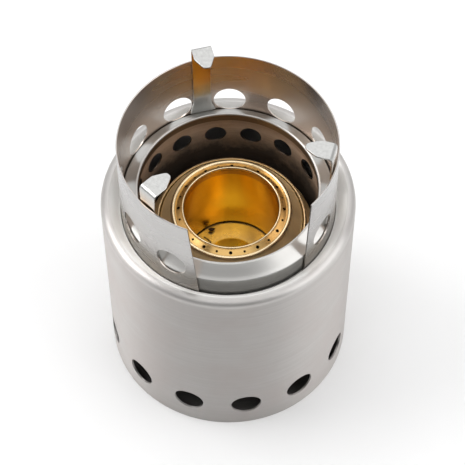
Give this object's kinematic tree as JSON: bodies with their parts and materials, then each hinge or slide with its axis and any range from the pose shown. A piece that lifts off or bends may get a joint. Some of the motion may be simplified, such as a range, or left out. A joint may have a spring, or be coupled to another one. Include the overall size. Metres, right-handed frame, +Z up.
{
  "type": "twig stove with spirit burner",
  "caption": "Double-walled cylindrical camping stove with a lift-off cooking ring, inward pot supports and a brass spirit burner standing on its wire grate.",
  "frame": {"origin": "middle of the footprint, on the surface the stove stands on", "axes": "+Z up, the ring's feed gap and the front of the stove towards -Y"},
  "size_m": [0.108, 0.108, 0.149],
  "materials": {
    "brushed_steel": "stainless sheet brushed round the body, satin",
    "sooted_steel": "stainless sheet browned and sooted by fire",
    "bare_steel": "plain stainless sheet",
    "nichrome_wire": "drawn heat-resisting wire, dark oxide",
    "brass": "spun brass, darkened by heat",
    "bright_brass": "spun brass, bright",
    "wick_fibre": "packed fibre wick"
  },
  "bodies": {
    "stove_body": {"outer_shell": "brushed_steel", "collar_and_brim": "brushed_steel", "firebox_wall": "sooted_steel", "base_plate": "bare_steel", "ash_pan": "sooted_steel", "ash_pan_post_1": "bare_steel", "ash_pan_post_2": "bare_steel", "ash_pan_post_3": "bare_steel", "grate_ledge": "sooted_steel", "grate_hoop_outer": "nichrome_wire", "grate_hoop_middle": "nichrome_wire", "grate_hoop_inner": "nichrome_wire", "grate_bar_1": "nichrome_wire", "grate_bar_2": "nichrome_wire", "grate_bar_3": "nichrome_wire", "grate_bar_4": "nichrome_wire"},
    "ring": {"cooking_ring": "brushed_steel", "pot_support_back": "brushed_steel", "pot_support_left": "brushed_steel", "pot_support_right": "brushed_steel"},
    "burner": {"burner_cup": "brass", "burner_thread_collar": "bright_brass", "burner_jet_ring": "brass", "burner_well_wall": "bright_brass", "burner_floor": "bright_brass", "burner_wick_sleeve": "wick_fibre", "burner_wick_tuft": "wick_fibre"}
  },
  "joints": [
    {"name": "ring_lift", "type": "slide", "parent": "stove_body", "child": "ring", "axis": [0, 0, 1], "range_m": [0, 0.06]},
    {"name": "burner_lift", "type": "slide", "parent": "stove_body", "child": "burner", "axis": [0, 0, 1], "range_m": [0, 0.05]}
  ]
}
